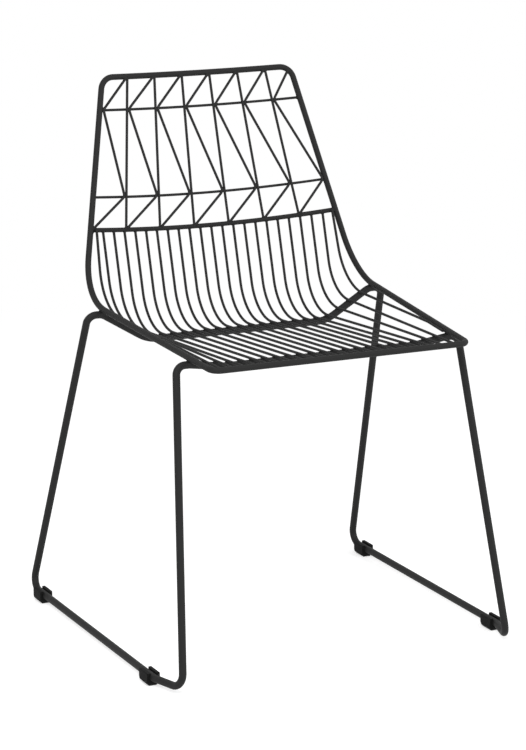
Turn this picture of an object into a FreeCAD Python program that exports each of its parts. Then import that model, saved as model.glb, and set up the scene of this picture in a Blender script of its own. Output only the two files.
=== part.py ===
import FreeCAD, Part
import Sketcher
import math
import os

# Wire mesh chair: a bent rod base carries a rimmed bucket of thin wires.
# Millimetres, +Z up. The chair faces -Y and is mirrored about the plane X = 0.
# The origin is on the floor, under the middle of the chair's outer box.
# A setback is a distance behind the front rail's axis, a height is above the floor,
# and a half width is measured from the mirror plane to a rod's axis.

doc = FreeCAD.newDocument("wire_mesh_chair")

SIZES = [
    ("base_rod", 11, "diameter of the leg and runner rod"),
    ("rim_rod", 9, "diameter of the rim rod"),
    ("mid_rod", 7, "diameter of the rail across the lower back"),
    ("mesh_wire", 4, "diameter of every mesh wire"),
    ("weld_gap", 0.1, "room left between two rods that are welded side by side"),
    ("front_rail_offset", 235.9, "front rail's axis ahead of the origin"),
    ("rim_top_half_width", 157, "corner of the back, before it is rounded"),
    ("rim_top_setback", 487, ""),
    ("rim_top_height", 795.4, ""),
    ("rim_bend_half_width", 227, "corner between back and seat, before it is rounded"),
    ("rim_bend_setback", 393, ""),
    ("rim_bend_height", 480.3, ""),
    ("rim_front_half_width", 201.5, "front corner of the seat, before it is rounded"),
    ("rim_front_height", 454.3, ""),
    ("rim_top_radius", 22, "bend radii of the rim"),
    ("rim_seat_radius", 89, ""),
    ("rim_front_radius", 14, ""),
    ("top_bow_back", 10, "how far the top of the back curves to the rear at its middle"),
    ("top_bow_drop", 3, ""),
    ("mid_bow_back", 16, "the same for the mid rail"),
    ("mid_bow_drop", 11, ""),
    ("mid_rail_share", 0.69, "mid rail, as a share of the way down the back"),
    ("upper_cross_share", 0.215, "cross wires, as a share of the way down to the mid rail"),
    ("lower_cross_share", 0.785, ""),
    ("upright_count", 6, "straight wires of the back"),
    ("upright_top_pitch", 46, ""),
    ("upright_mid_pitch", 58, ""),
    ("zigzag_radius", 8, "bend radius of the zigzag wires"),
    ("zigzag_room", 0.2, "room between a zigzag's bend and the rod beside it"),
    ("seat_wire_count", 23, "long wires of the seat, an odd number"),
    ("seat_wire_lean", 17.2, "angle of the wires' upper runs from the vertical"),
    ("seat_wire_radius", 70, ""),
    ("seat_wire_drop", 1, "front ends of the seat wires, below the front rail's axis"),
    ("edge_wire_inset", 8, "top of each outermost seat wire, inside the rim's axis"),
    ("edge_wire_radius", 82, ""),
    ("edge_wire_meeting", 120, "setback at which the outermost wires come beside the rim"),
    ("rear_bar_setback", 341.5, "the bar across the rear legs"),
    ("rear_leg_reach", 21, "top of a rear leg, outside the rim's axis"),
    ("rear_dish_reach", 75, "end of the bar's level middle, inside the rim's axis"),
    ("rear_dish_depth", 44.5, "level middle of the rear bar, below its ends"),
    ("front_bar_setback", 70.5, "the bar across the front legs"),
    ("front_leg_reach", 19, ""),
    ("front_dish_reach", 54, ""),
    ("shoulder_reach", 1.5, "level ends of both bars, inside the rim's axis"),
    ("shoulder_radius", 20, "bend radii of the two bars"),
    ("dish_radius", 60, ""),
    ("leg_top_radius", 14, ""),
    ("foot_radius", 18, "bend radius at the floor"),
    ("runner_half_width", 278.5, "runners along the floor"),
    ("rear_foot_setback", 493.2, "corner between rear leg and runner"),
    ("front_foot_half_width", 260.8, "corner between front leg and its short foot"),
    ("front_foot_setback", -28.5, ""),
    ("front_glide_setback", 47, "middle of the front floor glides"),
    ("kink_lead", 3.5, "where each short foot turns inwards, ahead of the glide"),
    ("rear_glide_lead", 2.5, "room between a rear glide and the bend at the foot"),
    ("glide_sole", 6.8, "glide material under the rod"),
    ("glide_length", 28, ""),
    ("glide_width", 20, ""),
    ("glide_height", 19.2, ""),
    ("glide_mouth", 9, "slot that the rod snaps in through, narrower than the rod"),
    ("glide_lower_bevel", 4.2, "45 degree bevels below and above the sides"),
    ("glide_upper_bevel", 1, ""),
    ("glide_end_bevel", 2.2, ""),
    ("glide_clearance", 0.1, "between glide and rod"),
]

sheet = doc.addObject("Spreadsheet::Sheet", "Sizes")
for row, (alias, value, note) in enumerate(SIZES, start=1):
    sheet.set(f"A{row}", alias)
    sheet.set(f"B{row}", str(value))
    sheet.setAlias(f"B{row}", alias)
    sheet.set(f"C{row}", note)
doc.recompute()


def size(alias):
    """Value of one cell of the sheet, as a plain number."""
    return float(sheet.get(alias))


rim_r = size("rim_rod") / 2
base_r = size("base_rod") / 2
mid_r = size("mid_rod") / 2
wire_r = size("mesh_wire") / 2
gap = size("weld_gap")
mesh_offset = wire_r + gap / 2
runner_height = size("glide_sole") + base_r
subparts = []


def point(half_width, setback, height):
    """A point given by its half width, its setback from the front rail and its height."""
    return FreeCAD.Vector(half_width, setback - size("front_rail_offset"), height)


def mirrored(points):
    """The same points on the other side of the chair, in reverse order."""
    return [FreeCAD.Vector(-p.x, p.y, p.z) for p in reversed(points)]


def between(start, end, share):
    """Point that lies a share of the way from start to end."""
    return start + (end - start) * share


def rounded(before, corner, after, radius):
    """Start, middle and end of the arc that rounds a corner."""
    back = (before - corner).normalize()
    ahead = (after - corner).normalize()
    half_turn = (math.pi - back.getAngle(ahead)) / 2
    start = corner + back * (radius * math.tan(half_turn))
    end = corner + ahead * (radius * math.tan(half_turn))
    middle = corner + (back + ahead).normalize() * (radius * (1 / math.cos(half_turn) - 1))
    return start, middle, end


def bent_path(corners, radii):
    """Straight runs joined by tangent arcs, one radius for each inner corner."""
    edges = []
    here = corners[0]
    for number, radius in enumerate(radii, start=1):
        start, middle, end = rounded(*corners[number - 1:number + 2], radius)
        edges.append(Part.LineSegment(here, start).toShape())
        edges.append(Part.Arc(start, middle, end).toShape())
        here = end
    edges.append(Part.LineSegment(here, corners[-1]).toShape())
    return Part.Wire(edges)


def bowed_path(end, bow):
    """One arc from the mirror image of a point to the point, bowed at its middle."""
    start = FreeCAD.Vector(-end.x, end.y, end.z)
    return Part.Wire([Part.Arc(start, between(start, end, 0.5) + bow, end).toShape()])


def rod(label, path, alias):
    """Round rod of the named diameter, swept along a path."""
    spine = doc.addObject("Part::Feature", "path_of_" + label)
    spine.Shape = path
    section = doc.addObject("Part::Circle", "section_of_" + label)
    section.setExpression("Radius", f"Sizes.{alias} / 2")
    first = path.OrderedEdges[0]
    start = first.valueAt(first.FirstParameter)
    along = first.tangentAt(first.FirstParameter)
    section.Placement = FreeCAD.Placement(start, FreeCAD.Rotation(FreeCAD.Vector(0, 0, 1), along))
    sweep = doc.addObject("Part::Sweep", label)
    sweep.Sections = [section]
    sweep.Spine = (spine, [])
    sweep.Solid = True
    sweep.Label = label
    return sweep


def coped(label, blank, tools):
    """Rod whose ends are cut to sit on the rods they meet."""
    for number, tool in enumerate(tools, start=1):
        cut = doc.addObject("Part::Cut", f"{label}_cope_{number}")
        cut.Base = blank
        cut.Tool = tool
        cut.Refine = False
        blank = cut
    blank.Label = label
    return blank


def crossing(path, centre, normal, reach):
    """Point where a path goes through a round window."""
    window = Part.Face(Part.Wire([Part.makeCircle(reach, centre, normal)]))
    return path.distToShape(window)[1][0][0]


def clear_height(path, spot, reach):
    """Height over a spot of a path that lies a reach away from it, below it if negative."""
    height = spot.z + reach
    for _ in range(10):
        distance = Part.Vertex(spot.x, spot.y, height).distToShape(path)[0]
        height += math.copysign(abs(reach) - distance, reach)
    return height


def pulled_in(end, toward, radius):
    """Mesh wire's end, moved off a rod's axis until the wire butts against the rod."""
    return end + (toward - end).normalize() * math.sqrt(radius ** 2 - mesh_offset ** 2)


# Rim: one closed loop round the back and the seat.
top_corner = point(size("rim_top_half_width"), size("rim_top_setback"), size("rim_top_height"))
bend_corner = point(size("rim_bend_half_width"), size("rim_bend_setback"), size("rim_bend_height"))
front_corner = point(size("rim_front_half_width"), 0, size("rim_front_height"))
top_bow = FreeCAD.Vector(0, size("top_bow_back"), -size("top_bow_drop"))
mid_bow = FreeCAD.Vector(0, size("mid_bow_back"), -size("mid_bow_drop"))

# The top is two tangents and an arc, so its peak lies beyond the arc's middle.
bow_reach = top_corner.x - size("rim_top_radius")
bow_peak = top_bow * (1 / (1 - bow_reach / (2 * top_corner.x)))
bow_radius = bow_reach * top_corner.x / bow_peak.Length
front_middle = point(0, 0, size("rim_front_height"))
top_peak = point(0, size("rim_top_setback"), size("rim_top_height")) + bow_peak
rim_side = [front_corner, bend_corner, top_corner]
rim_corners = [front_middle] + rim_side + [top_peak] + mirrored(rim_side) + [front_middle]
side_radii = [size("rim_front_radius"), size("rim_seat_radius"), size("rim_top_radius")]
rim_path = bent_path(rim_corners, side_radii + [bow_radius] + side_radii[::-1])
rim = rod("rim_frame", rim_path, "rim_rod")
subparts.append(rim)

# The back's face is ruled by straight lines from the bowed top to the bowed mid rail.
mid_end = between(top_corner, bend_corner, size("mid_rail_share"))
down_the_back = (bend_corner - top_corner).normalize()
rearward = FreeCAD.Vector(0, -down_the_back.z, down_the_back.y).normalize()
rim_slope = math.cos(math.atan2(down_the_back.x, -down_the_back.z))


def back_point(across, level):
    """Point of the back's face, at level 0 on the top rail and 1 on the mid rail."""
    side = between(top_corner, mid_end, level)
    share = 1 - (across / side.x) ** 2
    return FreeCAD.Vector(across, side.y, side.z) + between(top_bow, mid_bow, level) * share


mid_blank = rod("mid_rail_blank", bowed_path(mid_end, mid_bow), "mid_rod")
mid_rail = coped("mid_rail", mid_blank, [rim])
subparts.append(mid_rail)

# Cross wires lie behind the uprights and end on the rim.
for name in ("upper", "lower"):
    level = size(name + "_cross_share")
    end = between(top_corner, mid_end, level) + rearward * mesh_offset
    path = bowed_path(end, between(top_bow, mid_bow, level))
    blank = rod(name + "_cross_wire_blank", path, "mesh_wire")
    subparts.append(coped(name + "_cross_wire", blank, [rim]))

# Uprights fan out from the top rail to the mid rail, in front of the cross wires.
upright_count = int(size("upright_count"))


def upright_across(number, level):
    """Distance of an upright from the mirror plane, numbered from 1."""
    pitch = size("upright_top_pitch") * (1 - level) + size("upright_mid_pitch") * level
    return (number - (upright_count + 1) / 2) * pitch


def mesh_point(across, level):
    """Axis of a front mesh wire at a place of the back's face."""
    return back_point(across, level) - rearward * mesh_offset


uprights = {}
for number in range(1, upright_count + 1):
    top = mesh_point(upright_across(number, 0), 0)
    foot = mesh_point(upright_across(number, 1), 1)
    path = bent_path([pulled_in(top, foot, rim_r), pulled_in(foot, top, mid_r)], [])
    blank = rod(f"upright_wire_{number}_blank", path, "mesh_wire")
    uprights[number] = coped(f"upright_wire_{number}", blank, [rim, mid_rail])
    subparts.append(uprights[number])


# Each zigzag wire runs in the field between two uprights, or an upright and the rim.
# It starts at the top of the right upright, leans on the left one at the upper cross wire
# and on the right one at the lower cross wire, and ends at the foot of the left one.
beside_wire = 2 * wire_r + size("zigzag_room")
beside_rim = math.sqrt((rim_r + wire_r + size("zigzag_room")) ** 2 - mesh_offset ** 2) / rim_slope


def field_edge(number, level, side):
    """Nearest line of a zigzag to the rod on one side (-1 left, 1 right) of its field."""
    upright = number + (1 if side > 0 else 0)
    if 1 <= upright <= upright_count:
        return upright_across(upright, level) - side * beside_wire
    return side * (between(top_corner, mid_end, level).x - beside_rim)


for number in range(upright_count + 1):
    top = mesh_point(upright_across(number + 1, 0), 0)
    if number == upright_count:
        # The last field ends in the rounded corner of the rim.
        top = rounded(bend_corner, top_corner, top_peak, size("rim_top_radius"))[1]
        top = top - rearward * mesh_offset
    foot = mesh_point(upright_across(number, 1), 1)
    if number == 0:
        # The first field ends in the corner of rim and mid rail.
        foot = mesh_point(wire_r - mid_end.x, 1)
    turns = [(-1, size("upper_cross_share")), (1, size("lower_cross_share"))]
    lines = [field_edge(number, level, side) for side, level in turns]
    sharp = [mesh_point(across, level) for across, (side, level) in zip(lines, turns)]
    # A rounded bend falls short of its corner, so the corner moves out by as much.
    corners = [top] + sharp + [foot]
    for i, (side, level) in enumerate(turns):
        middle = rounded(*corners[i:i + 3], size("zigzag_radius"))[1]
        sharp[i] = mesh_point(lines[i] + side * (sharp[i] - middle).Length, level)
    start = pulled_in(top, sharp[0], rim_r)
    finish = pulled_in(foot, sharp[1], mid_r)
    path = bent_path([start] + sharp + [finish], [size("zigzag_radius")] * 2)
    beside = [uprights[n] for n in (number, number + 1) if n in uprights]
    name = f"zigzag_wire_{number + 1}"
    blank = rod(name + "_blank", path, "mesh_wire")
    subparts.append(coped(name, blank, [rim, mid_rail] + beside))

# Rear base rod: runners, rear legs and the dished bar under the seat, in one piece.
bar_reach = rim_r + base_r + gap
bar_radii = [size("leg_top_radius"), size("shoulder_radius"), size("dish_radius")]


def bar_side(end, contact, shoulder, middle):
    """Corners of half a bar: top of the leg, level end under the rim, level middle."""
    setback = size(end + "_bar_setback")
    return [
        point(contact.x + size(end + "_leg_reach"), setback, shoulder),
        point(contact.x - size("shoulder_reach"), setback, shoulder),
        point(contact.x - size(end + "_dish_reach"), setback, middle),
    ]


def rim_over_bar(end):
    """Point of the rim's axis straight over a bar."""
    window = point(bend_corner.x, size(end + "_bar_setback"), bend_corner.z)
    return crossing(rim_path, window, FreeCAD.Vector(0, 1, 0), size("rim_seat_radius"))


rear_contact = rim_over_bar("rear")
rear_shoulder = clear_height(rim_path, rear_contact, -bar_reach)
rear_middle = rear_shoulder - size("rear_dish_depth")
rear_side = [
    point(size("runner_half_width"), size("front_glide_setback") + gap, runner_height),
    point(size("runner_half_width"), size("rear_foot_setback"), runner_height),
] + bar_side("rear", rear_contact, rear_shoulder, rear_middle)
rear_radii = [size("foot_radius")] + bar_radii
rear_path = bent_path(rear_side + mirrored(rear_side), rear_radii + rear_radii[::-1])
subparts.append(rod("rear_base_rod", rear_path, "base_rod"))

# Seat wires: down from the mid rail, round a bend, over both bars to the front rail.
seat_wire_count = int(size("seat_wire_count"))
wire_reach = base_r + wire_r + gap
lean = math.radians(size("seat_wire_lean"))


def beside_rim_side(side, setback):
    """Axis of an outermost wire that runs beside the rim, on one side (-1 left, 1 right)."""
    on_rim = between(front_corner, bend_corner, setback / size("rim_bend_setback"))
    across = side * (on_rim.x - rim_r - wire_r - gap)
    return FreeCAD.Vector(across, on_rim.y, on_rim.z - size("seat_wire_drop"))


seat_wire_pitch = 2 * beside_rim_side(1, size("edge_wire_meeting")).x / (seat_wire_count - 1)


def seat_wire_corners(number):
    """Top, bend corners and front end of a seat wire, numbered from 1 at the left."""
    across = (number - (seat_wire_count + 1) / 2) * seat_wire_pitch
    side = math.copysign(1, across)
    top = back_point(across, 1)
    ahead = [point(across, rim_r / 2, front_corner.z - size("seat_wire_drop"))]
    if number in (1, seat_wire_count):
        # An outermost wire starts on the front of the mid rail, meets the side of the rim and
        # runs on beside it to the front bar.
        top = back_point(side * (mid_end.x - size("edge_wire_inset")), 1)
        top = top - rearward * (mid_r + wire_r + gap)
        setbacks = [size("edge_wire_meeting"), size("front_bar_setback")]
        ahead = [beside_rim_side(side, setback) for setback in setbacks]
    window = point(across, size("rear_bar_setback"), rear_middle)
    below = crossing(rear_path, window, FreeCAD.Vector(1, 0, 0), size("rear_dish_depth") + wire_reach)
    on_bar = point(across, size("rear_bar_setback"), clear_height(rear_path, below, wire_reach))
    fall = (ahead[0].z - on_bar.z) / (on_bar.y - ahead[0].y)
    # The upper run leans forward until it meets the line of the seat run.
    drop = (top.z - on_bar.z + fall * (top.y - on_bar.y)) / (1 + fall * math.tan(lean))
    corner = FreeCAD.Vector(across, top.y - drop * math.tan(lean), top.z - drop)
    return [top, corner] + ahead


for number in range(1, seat_wire_count + 1):
    corners = seat_wire_corners(number)
    radii = [size("seat_wire_radius")]
    if number in (1, seat_wire_count):
        radii = [size("edge_wire_radius")] * 2
    path = bent_path(corners, radii)
    name = f"seat_wire_{number:02d}"
    subparts.append(coped(name, rod(name + "_blank", path, "mesh_wire"), [rim, mid_rail]))

# Front base rod: short feet, front legs and a shallower bar, in one piece.
# The middle of the bar touches the middle wire of the seat from below.
front_contact = rim_over_bar("front")
front_shoulder = clear_height(rim_path, front_contact, -bar_reach)
corner, front = seat_wire_corners((seat_wire_count + 1) // 2)[1:]
bar_y = point(0, size("front_bar_setback"), 0).y
wire_over_bar = between(front, corner, (bar_y - front.y) / (corner.y - front.y))
kink = size("front_glide_setback") - size("glide_length") / 2 - size("kink_lead")
front_side = [
    point(size("runner_half_width"), size("front_glide_setback"), runner_height),
    point(size("runner_half_width"), kink, runner_height),
    point(size("front_foot_half_width"), size("front_foot_setback"), runner_height),
] + bar_side("front", front_contact, front_shoulder, wire_over_bar.z - wire_reach)
front_radii = [size("foot_radius")] * 2 + bar_radii
front_path = bent_path(front_side + mirrored(front_side), front_radii + front_radii[::-1])
subparts.append(rod("front_base_rod", front_path, "base_rod"))


def glide(label, across, setback):
    """Plastic floor glide that clasps the rod from below."""
    body = doc.addObject("PartDesign::Body", label)
    body.Label = label
    roles = {feature.Role: feature for feature in body.Origin.OriginFeatures}

    profile = body.newObject("Sketcher::SketchObject", label + "_profile")
    profile.AttachmentSupport = [(roles["XZ_Plane"], "")]
    profile.MapMode = "FlatFace"
    side = size("glide_width") / 2
    top = size("glide_height")
    mouth = size("glide_mouth") / 2
    low = size("glide_lower_bevel")
    high = size("glide_upper_bevel")
    right = [(side - low, 0), (side, low), (side, top - high), (side - high, top)]
    right += [(mouth, top), (mouth, runner_height)]
    outline = right + [(-x, z) for x, z in reversed(right)]
    for start, end in zip(outline, outline[1:] + outline[:1]):
        line = Part.LineSegment(FreeCAD.Vector(*start, 0), FreeCAD.Vector(*end, 0))
        profile.addGeometry(line, False)
    rule = Sketcher.Constraint
    count = len(outline)
    for line in range(count):
        profile.addConstraint(rule("Coincident", line, 2, (line + 1) % count, 1))
    for line in range(len(right)):
        profile.addConstraint(rule("Symmetric", count - 1 - line, 1, line, 1, -2))
    profile.addConstraint(rule("Vertical", 1))
    profile.addConstraint(rule("Horizontal", 3))
    profile.addConstraint(rule("Vertical", 4))
    profile.addConstraint(rule("PointOnObject", 0, 1, -1))
    named = [
        ("sole", "DistanceX", 11, 1, 11, 2, "glide_width - 2 * Sizes.glide_lower_bevel"),
        ("lips", "DistanceX", 7, 2, 2, 2, "glide_width - 2 * Sizes.glide_upper_bevel"),
        ("width", "DistanceX", 9, 1, 1, 2, "glide_width"),
        ("mouth", "DistanceX", 7, 1, 4, 1, "glide_mouth"),
        ("height", "DistanceY", 0, 1, 3, 1, "glide_height"),
        ("lower", "DistanceY", 0, 1, 0, 2, "glide_lower_bevel"),
        ("upper", "DistanceY", 2, 1, 2, 2, "glide_upper_bevel"),
        ("axis", "DistanceY", 0, 1, 5, 1, "glide_sole + Sizes.base_rod / 2"),
    ]
    for name, kind, first, first_end, second, second_end, formula in named:
        index = profile.addConstraint(rule(kind, first, first_end, second, second_end, 1))
        profile.renameConstraint(index, name)
        profile.setExpression(f"Constraints.{name}", f"Sizes.{formula}")

    block = body.newObject("PartDesign::Pad", label + "_block")
    block.Profile = profile
    block.setExpression("Length", "Sizes.glide_length")
    block.SideType = "Symmetric"
    doc.recompute()

    seat = body.newObject("Sketcher::SketchObject", label + "_seat")
    seat.AttachmentSupport = [(roles["XZ_Plane"], "")]
    seat.MapMode = "FlatFace"
    seat.addGeometry(Part.Circle(FreeCAD.Vector(0, runner_height, 0), FreeCAD.Vector(0, 0, 1), base_r), False)
    seat.addConstraint(rule("PointOnObject", 0, 3, -2))
    index = seat.addConstraint(rule("DistanceY", -1, 1, 0, 3, runner_height))
    seat.renameConstraint(index, "axis")
    seat.setExpression("Constraints.axis", "Sizes.glide_sole + Sizes.base_rod / 2")
    index = seat.addConstraint(rule("Radius", 0, base_r))
    seat.renameConstraint(index, "bore")
    seat.setExpression("Constraints.bore", "Sizes.base_rod / 2 + Sizes.glide_clearance")

    channel = body.newObject("PartDesign::Pocket", label + "_channel")
    channel.Profile = seat
    channel.Type = "ThroughAll"
    channel.Midplane = True
    doc.recompute()

    ends = []
    for number, edge in enumerate(channel.Shape.Edges, start=1):
        box = edge.BoundBox
        if box.YLength < gap and edge.CenterOfMass.z < low + gap:
            ends.append(f"Edge{number}")
    bevel = body.newObject("PartDesign::Chamfer", label + "_bevel")
    bevel.Base = (channel, ends)
    bevel.setExpression("Size", "Sizes.glide_end_bevel")
    body.Placement = FreeCAD.Placement(point(across, setback, 0), FreeCAD.Rotation())
    return body


# The rear glides sit on the runners just ahead of the bend at the foot.
foot_bend = rounded(*rear_side[:3], size("foot_radius"))[0]
rear_glide_end = foot_bend.y + size("front_rail_offset") - size("rear_glide_lead")
rear_glide_setback = rear_glide_end - size("glide_length") / 2
for end, setback in (("front", size("front_glide_setback")), ("rear", rear_glide_setback)):
    for side, sign in (("left", -1), ("right", 1)):
        across = sign * size("runner_half_width")
        subparts.append(glide(f"{end}_{side}_glide", across, setback))

doc.recompute()

for item in doc.Objects:
    if "Invalid" in item.State or "Error" in item.State:
        raise RuntimeError(f"{item.Label} failed: {item.State}")
for item in subparts:
    if item.Shape.isNull() or not item.Shape.isValid() or len(item.Shape.Solids) != 1:
        raise RuntimeError(f"{item.Label} is not one valid solid")

os.makedirs("parts", exist_ok=True)
outer = FreeCAD.BoundBox()
for item in subparts:
    item.Shape.exportStep(f"parts/{item.Label}.step")
    outer.add(item.Shape.optimalBoundingBox(False, False))
print(f"{len(subparts)} sub-parts")
print("outer box from", FreeCAD.Vector(outer.XMin, outer.YMin, outer.ZMin))
print("outer box to", FreeCAD.Vector(outer.XMax, outer.YMax, outer.ZMax))
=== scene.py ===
# %% [markdown]
# # A chair bent from black wire
# The chair is steel rod, bent cold, welded and powder coated in one satin black. Its base is a
# sled: two bent rods that stand on four small floor glides. On it sits a rimmed bucket of
# thin wires, straight ones for the seat and a zigzag lattice for the back.
# Every rod is already in the packed model, which loads here as a fixed frame. What is left to
# make is what a camera sees: the coating, the weld seams, the plastic, the light and the floor.

import math

import bpy
import numpy as np
from mathutils import Matrix, Vector


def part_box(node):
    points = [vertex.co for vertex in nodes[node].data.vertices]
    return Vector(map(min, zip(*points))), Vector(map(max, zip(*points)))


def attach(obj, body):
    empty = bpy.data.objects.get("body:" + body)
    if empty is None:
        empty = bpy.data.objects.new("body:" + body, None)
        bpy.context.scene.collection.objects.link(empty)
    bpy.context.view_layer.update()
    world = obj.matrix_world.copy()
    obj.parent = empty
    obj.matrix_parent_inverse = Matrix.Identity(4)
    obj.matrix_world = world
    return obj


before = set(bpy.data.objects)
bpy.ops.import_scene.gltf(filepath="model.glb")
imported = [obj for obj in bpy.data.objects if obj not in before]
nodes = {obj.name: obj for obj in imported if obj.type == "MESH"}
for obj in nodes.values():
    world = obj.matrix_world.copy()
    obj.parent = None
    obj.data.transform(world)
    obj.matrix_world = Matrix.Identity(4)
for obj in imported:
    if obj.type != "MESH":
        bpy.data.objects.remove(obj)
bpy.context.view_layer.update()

# %% [markdown]
# ## Shader maths
# A procedural finish is a formula, and a formula reads best as one. A small class wraps a
# socket and turns each Python operator into a Math node, so that `0.6 + mask * 0.1` adds two
# nodes. One method adds any other node: its settings first, then its sockets.

# %% A socket that can be calculated with
class Value:
    """One output socket in a node tree, with Python's operators as Math nodes."""

    def __init__(self, tree, socket):
        self.tree = tree
        self.socket = socket

    def node(self, kind, output=0, settings=None, **sockets):
        """Adds a node: settings are attributes, sockets are values or links by name or index."""
        made = self.tree.nodes.new(kind)
        for name, value in (settings or {}).items():
            setattr(made, name, value)
        for name, value in sockets.items():
            key = int(name[1:]) if name[0] == "_" else name.replace("_", " ")
            plug(self.tree, made.inputs[key], value)
        return Value(self.tree, made.outputs[output])

    def calculate(self, operation, *values):
        """Adds a Math node."""
        numbered = {f"_{index}": value for index, value in enumerate(values)}
        return self.node("ShaderNodeMath", settings={"operation": operation}, **numbered)

    def __add__(self, other):
        return self.calculate("ADD", self, other)

    def __mul__(self, other):
        return self.calculate("MULTIPLY", self, other)

    __radd__ = __add__
    __rmul__ = __mul__


def plug(tree, socket, value):
    """Links a Value to a socket, or writes a plain number or colour into it."""
    if isinstance(value, Value):
        tree.links.new(value.socket, socket)
    else:
        socket.default_value = value


print("Value:", Value.__doc__)

# %% [markdown]
# ## Helpers for the finishes
# Every finish on the chair is a Principled shader with a pattern or two plugged in. The patterns
# are noise on Object coordinates, which count in metres from the chair's origin, so a grain has
# its real size and runs on from one rod to the next.

# %% Material, noise, blend and bump
def new_material(name):
    """Material with a Principled shader. Returns it, the shader and the object coordinates."""
    material = bpy.data.materials.new(name)
    material.use_nodes = True
    tree = material.node_tree
    shader = next(node for node in tree.nodes if node.type == "BSDF_PRINCIPLED")
    place = tree.nodes.new("ShaderNodeTexCoord")
    return material, shader, Value(tree, place.outputs["Object"])


def noise(place, scale):
    """Noise between 0 and 1 that varies about `scale` times in a metre."""
    return place.node("ShaderNodeTexNoise", Vector=place, Scale=scale)


def blend_colours(mask, low, high):
    """Mix of two colours or colour links, low where the mask is 0 and high where it is 1.

    A Mix node has its two colours at inputs 6 and 7 and the mixed colour at output 2.
    """
    low, high = [colour if isinstance(colour, Value) else (*colour, 1) for colour in (low, high)]
    return mask.node("ShaderNodeMix", 2, {"data_type": "RGBA"}, _0=mask, _6=low, _7=high)


def bump(height, distance):
    """Surface normal shaken by a height from 0 to 1, `distance` metres deep."""
    return height.node("ShaderNodeBump", Height=height, Distance=distance)


helpers = (new_material, noise, blend_colours, bump)
print("helpers:", ", ".join(helper.__name__ for helper in helpers))

# %% [markdown]
# ## Powder coat
# Powder is sprayed on dry and baked, so it never lies quite flat: it sets in a fine orange
# peel about a millimetre across. That and a low gloss spread each highlight so far that the rod
# looks an even dark grey. The roughness drifts a little along a rod, as the spray was thicker in
# some places than in others.

# %% Satin black powder coat
COAT_DARK = (0.010, 0.010, 0.010)
COAT_LIGHT = (0.016, 0.016, 0.016)
COAT_ROUGHNESS = 0.60
COAT_DRIFT = 0.10
COAT_GLOSS = 0.22
CLOUDS_A_METRE = 18
PEELS_A_METRE = 900
PEEL_DEPTH = 0.0002
coat, shader, place = new_material("satin_black_powder_coat")
cloud = noise(place, CLOUDS_A_METRE)
peel = noise(place, PEELS_A_METRE)
plug(place.tree, shader.inputs["Base Color"], blend_colours(cloud, COAT_DARK, COAT_LIGHT))
plug(place.tree, shader.inputs["Roughness"], COAT_ROUGHNESS + cloud * COAT_DRIFT)
plug(place.tree, shader.inputs["Normal"], bump(peel, PEEL_DEPTH))
shader.inputs["Specular IOR Level"].default_value = COAT_GLOSS
print("coat:", len(place.tree.nodes), "shader nodes")

# %% [markdown]
# ## Glide plastic
# The glides are moulded in black nylon. A spark-eroded mould leaves a fine dull grain on it, and
# the edges near the floor pick up a grey scuff.

# %% Moulded black nylon
NYLON_DARK = (0.003, 0.003, 0.003)
NYLON_LIGHT = (0.005, 0.005, 0.005)
NYLON_SCUFF = (0.05, 0.05, 0.05)
NYLON_ROUGHNESS = 0.70
NYLON_DRIFT = 0.15
NYLON_GLOSS = 0.15
PATCHES_A_METRE = 60
GRAINS_A_METRE = 1800
GRAIN_DEPTH = 0.00015
SCUFF_HEIGHT = 0.003
nylon, shader, place = new_material("moulded_black_nylon")
grain = noise(place, GRAINS_A_METRE)
patch = noise(place, PATCHES_A_METRE)
# Output 2 of Separate XYZ is z, the height over the floor.
height = place.node("ShaderNodeSeparateXYZ", 2, Vector=place)
rubbed = height.node("ShaderNodeMapRange", Value=height, From_Min=SCUFF_HEIGHT, From_Max=0.0)
clean = blend_colours(patch, NYLON_DARK, NYLON_LIGHT)
plug(place.tree, shader.inputs["Base Color"], blend_colours(rubbed * grain, clean, NYLON_SCUFF))
plug(place.tree, shader.inputs["Roughness"], NYLON_ROUGHNESS + patch * NYLON_DRIFT)
plug(place.tree, shader.inputs["Normal"], bump(grain, GRAIN_DEPTH))
shader.inputs["Specular IOR Level"].default_value = NYLON_GLOSS
print("nylon:", len(place.tree.nodes), "shader nodes")

# %% [markdown]
# ## Dressing the frame
# Each CAD node has one material slot, and its finish goes in there. The mesh stays as it is.

# %% Dress the frame
for name, rod in nodes.items():
    finish = nylon if name.endswith("_glide") else coat
    for slot in rod.material_slots:
        slot.material = finish
print("dressed", len(nodes), "pieces")

# %% [markdown]
# ## Where two rods meet
# The rods are resistance welded: a current melts them where they are pressed together. This
# chair has well over a hundred such welds, too many to place by hand, so the meshes of the rods
# show where they are. One call copies a whole field of a mesh into a numpy array, where a loop
# over its items would be slow.

# %% Read a mesh
def read_array(items, field, width, kind=float):
    """Copies one field of a mesh's items into an array with `width` numbers a row."""
    values = np.empty(len(items) * width, dtype=kind)
    items.foreach_get(field, values)
    return values.reshape(-1, width)


rim = read_array(nodes["rim_frame"].data.vertices, "co", 3)
print("the rim has", len(rim), "vertices, up to", rim[:, 2].max().round(4), "m high")

# %% [markdown]
# ## Axes of the rods
# A corner of a round rod's mesh, moved back along its normal by the rod's radius, lies on the
# rod's axis. That turns each mesh into straight runs of its axis, many in a bend and one in a
# straight stretch.

# %% Axes of the rods
ROD_RADII = {"base_rod": 0.0055, "rim_frame": 0.0045, "mid_rail": 0.0035, "wire": 0.002}
SHORTEST_RUN = 0.0003
SIDE_RATIO = 0.6
MERGE_DIGITS = 3


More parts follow.
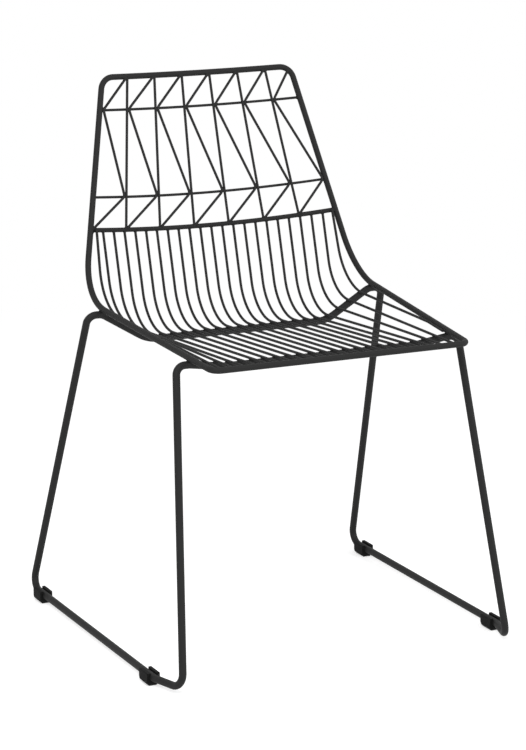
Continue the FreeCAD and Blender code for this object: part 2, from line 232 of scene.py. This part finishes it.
def axis_runs(mesh, radius):
    """Straight runs of a round rod's axis, as an array of pairs of points.

    A corner p with the normal n gives the axis point a = p - radius * n. From one corner to the
    next round the rod, p moves and a stays. On the faces that close the rod's ends, a moves at
    least as far as p, and these faces are left out.
    """
    mesh.calc_loop_triangles()
    loops = read_array(mesh.loop_triangles, "loops", 3, np.int32)
    vertices = read_array(mesh.loops, "vertex_index", 1, np.int32)[:, 0]
    on_skin = read_array(mesh.vertices, "co", 3)[vertices][loops]
    on_axis = on_skin - radius * read_array(mesh.corner_normals, "vector", 3)[loops]
    edges = np.stack([on_axis, np.roll(on_axis, -1, axis=1)], axis=2)
    steps = np.linalg.norm(edges[:, :, 1] - edges[:, :, 0], axis=2)
    skin_steps = np.linalg.norm(on_skin - np.roll(on_skin, -1, axis=1), axis=2)
    on_side = (steps / skin_steps).min(axis=1) < SIDE_RATIO
    kept = edges[on_side][steps[on_side] > SHORTEST_RUN]
    # Both directions of an edge, and the edges beside it, give the same run.
    forward = kept[:, :1, 1] < kept[:, 1:, 1]
    kept = np.where(forward[:, :, None], kept, kept[:, ::-1])
    _, first = np.unique(kept.round(MERGE_DIGITS).reshape(-1, 6), axis=0, return_index=True)
    return kept[first]


radii = {}
runs = {}
boxes = {}
for name, rod in nodes.items():
    kinds = [kind for kind in ROD_RADII if kind in name]
    if kinds:
        radii[name] = ROD_RADII[kinds[0]]
        runs[name] = axis_runs(rod.data, radii[name])
        boxes[name] = np.array(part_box(name))
print("axes of", len(runs), "rods, in", sum(map(len, runs.values())), "runs")

# %% [markdown]
# ## The closest points of two runs
# Two rods touch where their axes come as near to each other as their two radii. For straight
# runs the nearest points follow from two equations, and numpy solves them for each run of one
# rod against each run of the other at once.

# %% Closest points
NEARLY_PARALLEL = 1e-18


def dot(first, second):
    """Scalar product of two arrays of vectors, kept as a last axis of one number."""
    return (first * second).sum(axis=-1, keepdims=True)


def closest_points(first, second):
    """Closest points of each run of one rod and each run of another.

    The points are p + s u and q + t v. The distance is least where both derivatives vanish,
    and s and t are kept between 0 and 1.
    """
    p, u = first[:, None, 0], (first[:, 1] - first[:, 0])[:, None]
    q, v = second[None, :, 0], (second[:, 1] - second[:, 0])[None]
    uu, uv, vv, uw, vw = dot(u, u), dot(u, v), dot(v, v), dot(u, p - q), dot(v, p - q)
    s = ((uv * vw - vv * uw) / np.maximum(uu * vv - uv * uv, NEARLY_PARALLEL)).clip(0, 1)
    t = ((uv * s + vw) / vv).clip(0, 1)
    s = ((uv * t - uw) / uu).clip(0, 1)
    return p + u * s, q + v * t


line, line_above = np.array([[(-1, 0, 0), (1, 0, 0)]]), np.array([[(0, -1, 1), (0, 1, 1)]])
below, above = closest_points(line, line_above)
print("two crossing lines come closest at", below.ravel(), "and", above.ravel())

# %% [markdown]
# ## Finding the welds
# Of all the places where two rods are close enough, the closest is a weld. The places beside it
# belong to the same weld and are dropped, and the search goes on with the rest. The longest runs
# at a weld say best which way its rods go.

# %% Find the welds
WELD_REACH = 0.0009
WELD_SPACING = 0.02
SAME_PLACE = 0.0006


def runs_near(name, other):
    """The runs of one rod that come near the box of another."""
    low, high = boxes[other]
    starts, ends = runs[name].min(axis=1), runs[name].max(axis=1)
    margin = radii[name] + WELD_REACH
    return runs[name][((starts < high + margin) & (ends > low - margin)).all(axis=1)]


def longest(candidates):
    """The longest of some runs."""
    return candidates[np.argmax(np.linalg.norm(candidates[:, 1] - candidates[:, 0], axis=1))]


def welds_between(thin, thick):
    """Welds of two rods: for each its two axis points and the directions of the two axes."""
    first, second = runs_near(thin, thick), runs_near(thick, thin)
    on_thin, on_thick = closest_points(first, second)
    gaps = np.linalg.norm(on_thin - on_thick, axis=2)
    close = np.argwhere(gaps < radii[thin] + radii[thick] + WELD_REACH)
    close = close[np.argsort(gaps[close[:, 0], close[:, 1]], kind="stable")]
    found = []
    while len(close):
        spot, foot = on_thin[tuple(close[0])], on_thick[tuple(close[0])]
        apart = np.linalg.norm(on_thin[close[:, 0], close[:, 1]] - spot, axis=1)
        here = close[apart < SAME_PLACE]
        # The thin rod's direction points away from its nearer end, where it may stop.
        near, far = sorted(longest(first[here[:, 0]]), key=lambda end: np.linalg.norm(end - foot))
        beside = longest(second[here[:, 1]])
        found.append((spot, foot, far - near, beside[1] - beside[0]))
        close = close[apart > WELD_SPACING]
    return found


welds = []
names = sorted(runs, key=lambda name: (radii[name], name))
for index, thin in enumerate(names):
    for thick in names[index + 1:]:
        welds += [(thin, thick, *weld) for weld in welds_between(thin, thick)]
print(len(welds), "places where two rods come together")

# %% [markdown]
# ## Weld beads
# A weld leaves a small fillet, and the powder coat rounds it off. Where a wire ends on a rod, the
# fillet is a collar with a hollow flank, tangent to both. Where two rods cross, it is a saddle
# that fills the wedge between them out to a set gap. Both are rings of points round a line, and
# all the beads of one kind are worked out together, in arrays with one row for each bead.
# First come the tools for both: a ring, and a way to lay it on a rod.

# %% Rings on a rod
RING_POINTS = 12
LONGEST_SLIDE = 0.0025


def unit(vectors):
    """Vectors divided by their lengths."""
    return vectors / np.sqrt(dot(vectors, vectors))


def ring_directions(normal, along):
    """Unit vectors round a normal: cos(turn) x + sin(turn) y, with x nearest to `along`."""
    x = unit(along - dot(along, normal) * normal)
    turn = (np.arange(RING_POINTS) * (2 * np.pi / RING_POINTS))[:, None]
    return np.cos(turn) * x + np.sin(turn) * np.cross(normal, x)


def on_rod(points, normal, side, centre, axis, radius):
    """Points slid along a normal onto a round rod, on its far side (1) or near side (-1).

    With w and n for the parts of the point and the normal that are square to the rod's axis,
    |w + z n| = radius is a quadratic in z. A point that passes the rod is pulled in to it.
    """
    w = points - centre
    w = w - dot(w, axis) * axis
    n = normal - dot(normal, axis) * axis
    root = np.sqrt(np.maximum(dot(w, n) ** 2 - dot(n, n) * (dot(w, w) - radius ** 2), 0))
    z = (side * root - dot(w, n)) / dot(n, n)
    middle = z.mean(axis=2, keepdims=True)
    z = z.clip(middle - LONGEST_SLIDE, middle + LONGEST_SLIDE)
    beside = w + z * n
    return points + z * normal + unit(beside) * radius - beside


def weld_arrays(chosen):
    """Axis points, unit directions and radii of thin and thick rods, ready to broadcast."""
    thin, thick, *fields = zip(*chosen)
    sizes = [np.array([radii[rod] for rod in rods])[:, None, None, None] for rods in (thin, thick)]
    spot, foot, along, beside = [np.array(field)[:, None, None] for field in fields]
    return spot, foot, unit(along), unit(beside), *sizes


print("ring:", RING_POINTS, "points,", 360 // RING_POINTS, "degrees apart")

# %% [markdown]
# ## Collars
# A collar goes round the end of a wire. Its flank is a quarter circle, so it meets both rods
# without an edge. Its first and last rings are smaller and sunk into the metal, so that the
# bead is closed and its lids are hidden.

# %% Collars
COLLAR_REACH = 0.0013
COLLAR_LIMIT = 0.95
COLLAR_STEPS = 5
SUNK_WIDTH = 0.5
SINK = 0.0004


def collar_grid(chosen):
    """Rings of the collars: a quarter circle from the thick rod's skin to the thin one's.

    The ring at the angle f has the radius thin + reach (1 - sin f) and stands
    reach (1 - cos f) off the thick rod.
    """
    foot, centre, normal, axis, thin, thick = weld_arrays(chosen)
    reach = np.minimum(COLLAR_REACH, COLLAR_LIMIT * thick - thin)
    bend = np.linspace(0, np.pi / 2, COLLAR_STEPS)[:, None, None]
    ring = thin + reach * (1 - np.sin(bend))
    height = reach * (1 - np.cos(bend))
    ring = np.concatenate([ring[:, :1] * SUNK_WIDTH, ring, thin * SUNK_WIDTH], axis=1)
    height = np.concatenate([0 * reach - SINK, height, reach], axis=1)
    flat = foot + ring * ring_directions(normal, axis)
    return on_rod(flat, normal, 1, centre, axis, thick) + height * normal


print("collar:", COLLAR_STEPS + 2, "rings of", RING_POINTS, "points")

# %% [markdown]
# ## Saddles
# A saddle lies between two rods that pass each other. It is widest along the rods, where they
# part slowly, and narrow across them, where they part fast. A slight waist hollows its flank.

# %% Saddles
SADDLE_GAP = 0.0011
SADDLE_LIMIT = 0.9
SADDLE_WAIST = 0.16
SADDLE_SHARES = (0, 0, 0.25, 0.5, 0.75, 1, 1)
SUNK_RINGS = (-1, 0, 0, 0, 0, 0, 1)
SMALLEST_SINE = 1e-3


def saddle_grid(chosen):
    """Rings of the saddles, from the thin rod's skin to the thick one's.

    Two crossing rods part by d^2 (sin(a)^2 / 2 r + sin(b)^2 / 2 R) at the distance d, where a
    and b are the angles to their axes. That equals SADDLE_GAP at the bead's edge.
    """
    centre, other, axis, crossing, thin, thick = weld_arrays(chosen)
    normal = unit(other - centre)
    directions = ring_directions(normal, axis)
    sin_a, sin_b = [
        np.sqrt(np.maximum(1 - dot(directions, line) ** 2, SMALLEST_SINE ** 2))
        for line in (axis, crossing)
    ]
    edge = np.sqrt(SADDLE_GAP / (sin_a ** 2 / (2 * thin) + sin_b ** 2 / (2 * thick)))
    edge = np.minimum(edge, SADDLE_LIMIT * np.minimum(thin / sin_a, thick / sin_b))
    edge = np.minimum(edge, 2 * thin)
    share = np.array(SADDLE_SHARES)[:, None, None]
    waist = 1 - SADDLE_WAIST * np.sin(np.pi * share)
    waist[[0, -1]] = SUNK_WIDTH
    sink = SINK * np.array(SUNK_RINGS)[:, None, None]
    flat = centre + waist * edge * directions
    below = on_rod(flat, normal, 1, centre, axis, thin)
    above = on_rod(flat, normal, -1, other, crossing, thick)
    return below + share * (above - below) + sink * normal


print("saddle:", len(SADDLE_SHARES), "rings of", RING_POINTS, "points")

# %% [markdown]
# ## The bead pieces
# The beads of the back, the seat and the base become one piece each. Four neighbouring points
# of two rings make a face, and a lid closes the first and the last ring of each bead.

# %% Make the beads
CROSSING_SHARE = 0.4


def add_object(name, data):
    """Object for a mesh, a lamp or a camera, linked to the scene."""
    made = bpy.data.objects.new(name, data)
    bpy.context.scene.collection.objects.link(made)
    return made


def bead_piece(name, grid):
    """One piece of closed beads from rings of points, indexed by bead, ring and point."""
    index = np.arange(grid[..., 0].size).reshape(grid.shape[:3])
    turned = np.roll(index, -1, axis=2)
    sides = np.stack([index[:, :-1], turned[:, :-1], turned[:, 1:], index[:, 1:]], axis=-1)
    lids = np.concatenate([index[:, 0, ::-1], index[:, -1]])
    mesh = bpy.data.meshes.new(name)
    faces = sides.reshape(-1, 4).tolist() + lids.tolist()
    mesh.from_pydata(grid.reshape(-1, 3).tolist(), [], faces)
    mesh.shade_smooth()
    mesh.materials.append(coat)
    piece = add_object(name, mesh)
    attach(piece, "root")
    return piece


def crosses(weld):
    """Whether two rods pass each other, or else the thin one ends on the thick one."""
    thin, thick, *ends = weld[:4]
    return np.linalg.norm(ends[1] - ends[0]) > radii[thick] + CROSSING_SHARE * radii[thin]


def group(weld):
    """Part of the chair that a weld belongs to."""
    if "base_rod" in weld[1]:
        return "base"
    return "seat" if "seat_wire" in weld[0] + weld[1] else "back"


for part in ("back", "seat", "base"):
    chosen = [weld for weld in welds if group(weld) == part]
    grids = [saddle_grid([weld for weld in chosen if crosses(weld)])]
    collars = [weld for weld in chosen if not crosses(weld) and radii[weld[1]] > radii[weld[0]]]
    if collars:
        grids.append(collar_grid(collars))
    piece = bead_piece(f"weld_beads_{part}", np.concatenate(grids))
    print(piece.name, sum(map(len, grids)), "beads,", len(piece.data.polygons), "faces")

# %% [markdown]
# ## Floor
# White studio paper reads as pure white to the camera, yet the coating must not be flooded by
# it. The floor is a pale diffuse sheet that the camera sees as bright as paper, except where the
# chair's soft shadow falls. It is so large that the camera sees no end of it.

# %% Floor
FLOOR_SIZE = 60.0
half = FLOOR_SIZE / 2
sheet = bpy.data.meshes.new("studio_floor")
sheet.from_pydata(
    [(-half, -half, 0), (half, -half, 0), (half, half, 0), (-half, half, 0)],
    [],
    [(0, 1, 2, 3)],
)
floor = add_object("studio_floor", sheet)
print("floor:", FLOOR_SIZE, "m square")

# %% [markdown]
# ## White paper
# The Light Path node tells the camera's rays from those that light the scene. Only the camera,
# and what mirrors and glass pass on, sees the extra brightness. Near the chair the paper is lit
# and shaded as usual, and farther out it fades to plain white.

# %% White paper
PAPER_GREY = 0.8
PAPER_GLOW = 0.5
SHADE_RADIUS = 1.3
SHADE_FADE = 0.9
WHITE = (1, 1, 1, 1)


def seen_directly(tree):
    """1 for the camera's rays and those that mirrors and glass send on, 0 for the rest."""
    rays = tree.nodes.new("ShaderNodeLightPath").outputs
    camera, glossy, through = [
        Value(tree, rays[name])
        for name in ("Is Camera Ray", "Is Glossy Ray", "Is Transmission Ray")
    ]
    bright = camera.calculate("MAXIMUM", camera, glossy)
    return bright.calculate("MAXIMUM", bright, through)


paper, shader, place = new_material("white_paper")
tree = paper.node_tree
shader.inputs["Base Color"].default_value = (PAPER_GREY, PAPER_GREY, PAPER_GREY, 1)
shader.inputs["Roughness"].default_value = 1.0
shader.inputs["Specular IOR Level"].default_value = 0.0
seen = seen_directly(tree)
# The distance from the chair's middle along the floor is the length of (x, y, 0), at output 1.
flat = place.node("ShaderNodeVectorMath", 0, {"operation": "MULTIPLY"}, _0=place, _1=(1, 1, 0))
reach = flat.node("ShaderNodeVectorMath", 1, {"operation": "LENGTH"}, _0=flat)
far = reach.node(
    "ShaderNodeMapRange",
    settings={"interpolation_type": "SMOOTHSTEP"},
    Value=reach,
    From_Min=SHADE_RADIUS,
    From_Max=SHADE_RADIUS + SHADE_FADE,
)
glow = seen.node("ShaderNodeEmission", Color=WHITE, Strength=seen * PAPER_GLOW)
lit = seen.node("ShaderNodeAddShader", _0=Value(tree, shader.outputs[0]), _1=glow)
white = seen.node("ShaderNodeEmission", Color=WHITE, Strength=1.0)
paper_out = next(node for node in tree.nodes if node.type == "OUTPUT_MATERIAL")
surface = seen.node("ShaderNodeMixShader", _0=far * seen, _1=lit, _2=white)
tree.links.new(surface.socket, paper_out.inputs["Surface"])
sheet.materials.append(paper)
print("paper:", len(tree.nodes), "shader nodes")

# %% [markdown]
# ## Studio light
# Thin black rods show a light mostly as the highlight that runs along them, so the light is soft
# and comes from all round: a pale world, with one large lamp on each side of the camera to lift
# the front of the rods a little.

# %% World and lamps
WORLD_LIGHT = 0.6
SEAT_MIDDLE = (0, 0, 0.45)
LAMP_WIDTH = 1.5
LAMPS = {
    "key_lamp": ((-1.6, -2.4, 2.6), 60),
    "fill_lamp": ((2.2, -1.6, 1.6), 25),
}
world = bpy.data.worlds.new("studio")
bpy.context.scene.world = world
world.use_nodes = True
tree = world.node_tree
background = tree.nodes["Background"]
seen = seen_directly(tree)
plug(tree, background.inputs["Color"], WHITE)
plug(tree, background.inputs["Strength"], seen * (1 - WORLD_LIGHT) + WORLD_LIGHT)


def soft_lamp(name, place, watts):
    """Square area lamp at a place, turned to the seat."""
    light = bpy.data.lights.new(name, "AREA")
    light.size = LAMP_WIDTH
    light.energy = watts
    lamp = add_object(name, light)
    away = (Vector(place) - Vector(SEAT_MIDDLE)).to_track_quat("Z", "Y")
    lamp.matrix_world = Matrix.Translation(place) @ away.to_matrix().to_4x4()


for name, (place, watts) in LAMPS.items():
    soft_lamp(name, place, watts)
print("lamps:", ", ".join(LAMPS))

# %% [markdown]
# ## Camera
# A long lens from four metres keeps the chair's lines calm, as in a catalogue. The angle was
# found from the photograph: lines were traced along the rods, and the camera was turned until
# the model's rods lay on them. The camera looks past its origin, the zero point of that fit, and
# is moved across and up to bring the chair to its place in the picture.

# %% Camera
CAMERA_AZIMUTH = math.radians(-26.1)
CAMERA_ELEVATION = math.radians(13.78)
CAMERA_ROLL = math.radians(0.24)
CAMERA_DISTANCE = 4.05813
CAMERA_ACROSS = -0.11247
CAMERA_UP = 0.41630
CAMERA_ORIGIN = Vector((0, -0.2359, -0.0007))
FOCAL_PIXELS = 2821.57
IMAGE_HEIGHT = 750
SENSOR = 36

backward = Vector((
    math.sin(CAMERA_AZIMUTH) * math.cos(CAMERA_ELEVATION),
    -math.cos(CAMERA_AZIMUTH) * math.cos(CAMERA_ELEVATION),
    math.sin(CAMERA_ELEVATION),
))
right = Vector((math.cos(CAMERA_AZIMUTH), math.sin(CAMERA_AZIMUTH), 0))
up = backward.cross(right)
eye = CAMERA_ORIGIN + backward * CAMERA_DISTANCE + right * CAMERA_ACROSS + up * CAMERA_UP
rolled_right = right * math.cos(CAMERA_ROLL) + up * math.sin(CAMERA_ROLL)
rolled_up = up * math.cos(CAMERA_ROLL) - right * math.sin(CAMERA_ROLL)
lens = bpy.data.cameras.new("photo_camera")
lens.sensor_width = SENSOR
lens.lens = FOCAL_PIXELS / IMAGE_HEIGHT * SENSOR
camera = add_object("photo_camera", lens)
axes = Matrix((rolled_right, rolled_up, backward)).transposed()
camera.matrix_world = Matrix.Translation(eye) @ axes.to_4x4()
bpy.context.scene.camera = camera
bpy.context.scene.view_settings.view_transform = "Standard"
print(f"lens {lens.lens:.1f} mm at {eye.length:.2f} m")

# %% [markdown]
# The beads must not make the chair any bigger than its rods do.
